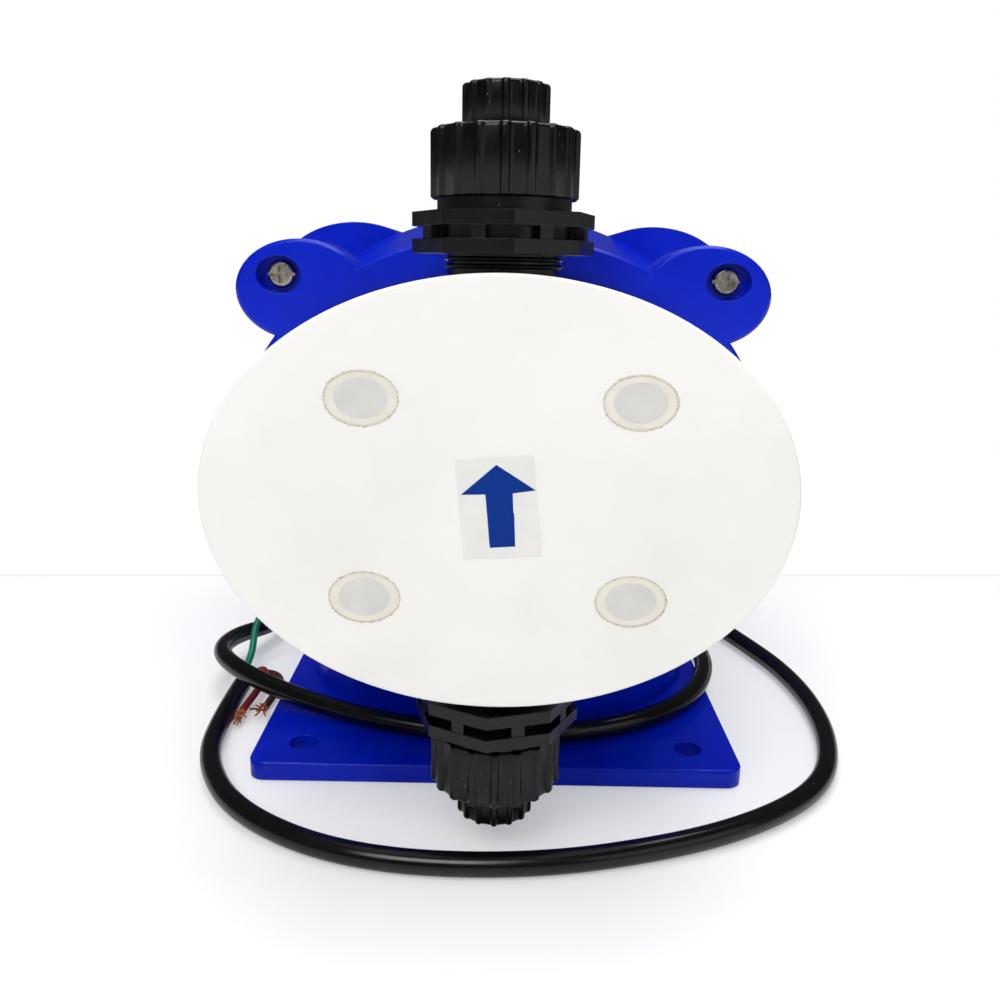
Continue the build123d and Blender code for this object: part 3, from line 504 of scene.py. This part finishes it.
def plug_dirt(name, x, z, chance):
    """Thin uneven ring of dirt in the joint round one plug."""
    widths = [chance.uniform(0.0, 0.13) if chance.random() < 0.9 else 0.3 for _ in range(DIRT_STEPS)]
    rows = []
    for out, y in ((False, 0.02), (False, -0.04), (True, -0.04), (True, 0.02)):
        row = []
        for i, width in enumerate(widths):
            a = 2 * math.pi * i / DIRT_STEPS
            r = 0.03 + width if out else -0.16
            row.append((x + (PLUG_RX + r) * math.cos(a), HEAD_FRONT + y, z + (PLUG_RZ + r) * math.sin(a)))
        rows.append(row)
    place_piece(name, closed_rings(rows, "plug_dirt", Matrix.Identity(4)), "plug_grime")


def make_head_trim():
    film_front = HEAD_FRONT - 0.12
    film = sheet("film_sheet", [(x, DRIVE_Z + z) for x, z in FILM], film_front, HEAD_FRONT, "label_film")
    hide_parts("flow_label")
    sheet("flow_arrow", [(x, DRIVE_Z + z) for x, z in ARROW], film_front - 0.06, film_front, "arrow_blue")
    chance = random.Random(5)
    for number, (x, z) in enumerate(PLUGS):
        # Grey sheet over each plug's middle: painted shade of the dark bolt well behind the thin plastic.
        sheet("plug_middle_painted_shade_%d" % number, oval_points(x, z, MIDDLE_RX, MIDDLE_RZ), HEAD_FRONT + 0.09,
              HEAD_FRONT + 0.5, "plug_core_painted_shade")
        plug_dirt("plug_dirt_%d" % number, x, z, chance)


# ---------------------------------------------------------------- front rim of the housing
COVER_BACK, RIM_BACK = -89.6, -83.1
COVER_OVAL = (0.0, 103.0, 71.5, 57.5)          # x, z, half width, half height
RIM_INSIDE = (0.0, 103.2, 69.5, 55.0)          # just under the barrel's skin
EAR_OVALS = [(sx * 53.7, COVER_OVAL[1] + sz * 42.0, 17.1, 13.2) for sx in (-1, 1) for sz in (-1, 1)]
EAR_SCREWS = [(sx * 59.2, COVER_OVAL[1] + sz * 46.0) for sx in (-1, 1) for sz in (-1, 1)]
SCREW_HOLE_R, HOLE_FLOOR_T = 2.1, 0.5


def lobed_outline(count=480):
    """Outline of the front cover: an oval with four ears, walked by angle round the oval's centre."""
    points = []
    for i in range(count):
        turn = 2 * math.pi * i / count
        dx, dz = math.cos(turn), math.sin(turn)
        reach = 0.0
        for x, z, rx, rz in [COVER_OVAL] + EAR_OVALS:
            u, w = x / rx, (z - COVER_OVAL[1]) / rz
            a, b = (dx / rx) ** 2 + (dz / rz) ** 2, u * dx / rx + w * dz / rz
            inside = b * b - a * (u * u + w * w - 1)
            if inside >= 0:
                reach = max(reach, (b + math.sqrt(inside)) / a)
        points.append((reach * dx, COVER_OVAL[1] + reach * dz))
    return points


def make_rim():
    """Rim behind the cover that takes the ear screws: a lobed ring round the barrel with blind holes."""
    outer = lobed_outline()
    inner = oval_points(*RIM_INSIDE, 240)
    holes = [oval_points(x, z, SCREW_HOLE_R, SCREW_HOLE_R, 32) for x, z in EAR_SCREWS]
    bm = bmesh.new()

    def ring(outline, y):
        return [bm.verts.new((x * MM, y * MM, z * MM)) for x, z in outline]

    def skin(rings):
        flat = [[Vector((v.co.x, v.co.z, 0.0)) for v in each] for each in rings]
        verts = [v for each in rings for v in each]
        for corners in tessellate_polygon(flat):
            bm.faces.new([verts[i] for i in corners])

    def wall(near, far):
        for i in range(len(near)):
            bm.faces.new((near[i], far[i], far[i - 1], near[i - 1]))

    front = [ring(outline, COVER_BACK) for outline in [outer, inner] + holes]
    back = [ring(outer, RIM_BACK), ring(inner, RIM_BACK)]
    floors = [ring(outline, RIM_BACK - HOLE_FLOOR_T) for outline in holes]
    skin(front)
    skin(back)
    for near, far in zip(front, back + floors):
        wall(near, far)
    for floor in floors:
        bm.faces.new(floor)
    place_piece("front_rim", mesh_from(bm, "front_rim"), "blue_abs")


# ---------------------------------------------------------------- control scales
TICKS, TICK_DEG = 11, 27.0
INK_HALF = 0.03                                # half the thickness of the printed ink


def make_tick(name, centre, step, r_in, r_out):
    a = math.radians(TICK_DEG * step)
    ahead, across = Vector((math.sin(a), math.cos(a))), Vector((math.cos(a), -math.sin(a)))
    half, reach = (0.35, r_out) if step % 5 == 0 else (0.22, r_out - 0.8)
    corners = [centre + ahead * r + across * w
               for r, w in ((r_in, -half), (reach, -half), (reach, half), (r_in, half))]
    sheet(name, [(c.x, c.y) for c in corners], REAR_FACE, REAR_FACE + 2 * INK_HALF, "dial_ink")


def make_number(name, centre, step, word, radius, text_size):
    """One number, read from behind the pump, on its own tick's line."""
    a = math.radians(TICK_DEG * step)
    data = bpy.data.curves.new(name, "FONT")
    data.body = word
    data.size = text_size * MM
    data.align_x = data.align_y = "CENTER"
    data.extrude = INK_HALF * MM
    letter = bpy.data.objects.new(name + "_source", data)
    bpy.context.scene.collection.objects.link(letter)
    mesh = bpy.data.meshes.new_from_object(letter)
    bpy.data.objects.remove(letter)
    x, z = centre.x + radius * math.sin(a), centre.y + radius * math.cos(a)
    mesh.transform(Matrix(((-1, 0, 0, x * MM), (0, 0, 1, (REAR_FACE + INK_HALF) * MM), (0, 1, 0, z * MM),
                           (0, 0, 0, 1))))
    mesh.materials.clear()
    place_piece("%s_%s" % (name, word), mesh, "dial_ink")


def make_scale(name, x0, z0, r_in, r_out, text_size, labels):
    """Ticks over the knob's 270 degrees, and a few plain numbers, on the rear cover."""
    centre = Vector((x0, z0))
    for step in range(TICKS):
        make_tick("%s_tick_%d" % (name, step), centre, step, r_in, r_out)
    for step, word in labels:
        make_number(name + "_number", centre, step, word, r_out + text_size * 0.75, text_size)


def make_scales():
    make_scale("stroke_scale", 0.0, DRIVE_Z, 20.2, 22.6, 3.4, ((0, "100"), (5, "50"), (10, "0")))
    make_scale("rate_scale", 38.0, 124.0, 12.0, 13.8, 2.6, ((0, "0"), (5, "50"), (10, "100")))


# ---------------------------------------------------------------- stage
TABLE_DROP = 0.4 * MM
EDGE_Y, EDGE_SLOPE, EDGE_W = 103.2 * MM, 0.0566, 2.2 * MM
FADE_START, FADE_END = 0.32, 0.62              # metres from the pump


def make_stage():
    """Pale glossy table top with a thin grey line for its far edge, and white far from the pump."""
    bm = bmesh.new()
    bmesh.ops.create_grid(bm, x_segments=1, y_segments=1, size=6.0)
    bmesh.ops.translate(bm, verts=bm.verts, vec=(0, 0, -TABLE_DROP))
    mesh = bpy.data.meshes.new("floor")
    bm.to_mesh(mesh)
    bm.free()
    floor = bpy.data.objects.new("floor", mesh)
    bpy.context.scene.collection.objects.link(floor)

    material, tree, shader, place = new_material("floor")
    shader.inputs["Base Color"].default_value = (0.93, 0.93, 0.93, 1)
    shader.inputs["Roughness"].default_value = 0.16
    shader.inputs["IOR"].default_value = 1.45
    split = add(tree, "ShaderNodeSeparateXYZ", links={"Vector": place})
    slant = add(tree, "ShaderNodeMath", {1: -EDGE_SLOPE}, {0: split.outputs["X"]}, operation="MULTIPLY")
    depth = add(tree, "ShaderNodeMath", {}, {0: split.outputs["Y"], 1: slant.outputs[0]}, operation="ADD")
    beyond = add(tree, "ShaderNodeMath", {1: EDGE_Y}, {0: depth.outputs[0]}, operation="GREATER_THAN")
    line = add(tree, "ShaderNodeMath", {1: EDGE_Y + EDGE_W}, {0: depth.outputs[0]}, operation="LESS_THAN")
    tone = add(tree, "ShaderNodeMix", data_type="RGBA", links={"Factor": line.outputs[0]})
    tone.inputs[6].default_value = (1, 1, 1, 1)
    tone.inputs[7].default_value = (0.66, 0.66, 0.66, 1)
    glow = add(tree, "ShaderNodeEmission", {"Strength": 1.0}, {"Color": tone.outputs[2]})
    path = add(tree, "ShaderNodeLightPath")
    seen = add(tree, "ShaderNodeMath", {},
               {0: path.outputs["Is Camera Ray"], 1: path.outputs["Is Glossy Ray"]}, operation="MAXIMUM")
    show = add(tree, "ShaderNodeMath", {}, {0: beyond.outputs[0], 1: seen.outputs[0]}, operation="MULTIPLY")
    mix = add(tree, "ShaderNodeMixShader", {},
              {0: show.outputs[0], 1: shader.outputs[0], 2: glow.outputs[0]})
    lift = add(tree, "ShaderNodeEmission", {"Strength": 1.42, "Color": (1, 1, 1, 1)})
    front = add(tree, "ShaderNodeMath", {1: 0.25}, {0: path.outputs["Is Camera Ray"]}, operation="MULTIPLY")
    final = add(tree, "ShaderNodeMixShader", {},
                {0: front.outputs[0], 1: mix.outputs[0], 2: lift.outputs[0]})
    reach = add(tree, "ShaderNodeVectorMath", links={0: place}, operation="LENGTH")
    fade = add(tree, "ShaderNodeMapRange", {"From Min": FADE_START, "From Max": FADE_END},
               {"Value": reach.outputs["Value"]})
    far = add(tree, "ShaderNodeMath", {}, {0: fade.outputs["Result"], 1: seen.outputs[0]},
              operation="MULTIPLY")
    haze = add(tree, "ShaderNodeEmission", {"Strength": 1.0, "Color": (1, 1, 1, 1)})
    whole = add(tree, "ShaderNodeMixShader", {},
                {0: far.outputs[0], 1: final.outputs[0], 2: haze.outputs[0]})
    tree.links.new(whole.outputs[0], tree.nodes["Material Output"].inputs["Surface"])
    floor.data.materials.append(material)


def make_lights():
    world = bpy.data.worlds.new("studio")
    bpy.context.scene.world = world
    world.use_nodes = True
    tree = world.node_tree
    background = tree.nodes["Background"]
    background.inputs["Color"].default_value = (1, 1, 1, 1)
    background.inputs["Strength"].default_value = 0.40
    dim = add(tree, "ShaderNodeBackground", {"Color": (1, 1, 1, 1), "Strength": 0.06})
    white = add(tree, "ShaderNodeBackground", {"Color": (1, 1, 1, 1), "Strength": 1.0})
    path = add(tree, "ShaderNodeLightPath")
    seen = add(tree, "ShaderNodeMath", {},
               {0: path.outputs["Is Camera Ray"], 1: path.outputs["Is Transmission Ray"]},
               operation="MAXIMUM")
    lit = add(tree, "ShaderNodeMixShader", {}, {0: path.outputs["Is Glossy Ray"], 1: background.outputs[0],
                                                2: dim.outputs[0]})
    mix = add(tree, "ShaderNodeMixShader", {}, {0: seen.outputs[0], 1: lit.outputs[0], 2: white.outputs[0]})
    tree.links.new(mix.outputs[0], tree.nodes["World Output"].inputs["Surface"])
    for name, place, aim, size, power in (
            ("key", (-0.20, -0.75, 0.80), (0, -0.08, 0.1), 0.60, 5.0),
            ("fill", (0.6, -0.6, 0.35), (0, -0.05, 0.1), 0.6, 0.6),
            ("top", (0.05, 0.10, 0.9), (0, 0, 0.1), 0.7, 5.4)):
        data = bpy.data.lights.new(name, "AREA")
        data.shape = "RECTANGLE"
        data.size = size
        data.size_y = size * 0.8
        data.energy = power
        lamp = bpy.data.objects.new(name, data)
        lamp.matrix_world = Matrix.Translation(place) @ (
            (Vector(aim) - Vector(place)).to_track_quat("-Z", "Y").to_matrix().to_4x4())
        bpy.context.scene.collection.objects.link(lamp)


# ---------------------------------------------------------------- assembly
make_camera()
make_cords()
make_strands()
finish_cad_nodes()
make_fittings()
make_head_trim()
make_rim()
make_scales()
make_stage()
make_lights()
bpy.context.scene.view_settings.view_transform = "Standard"
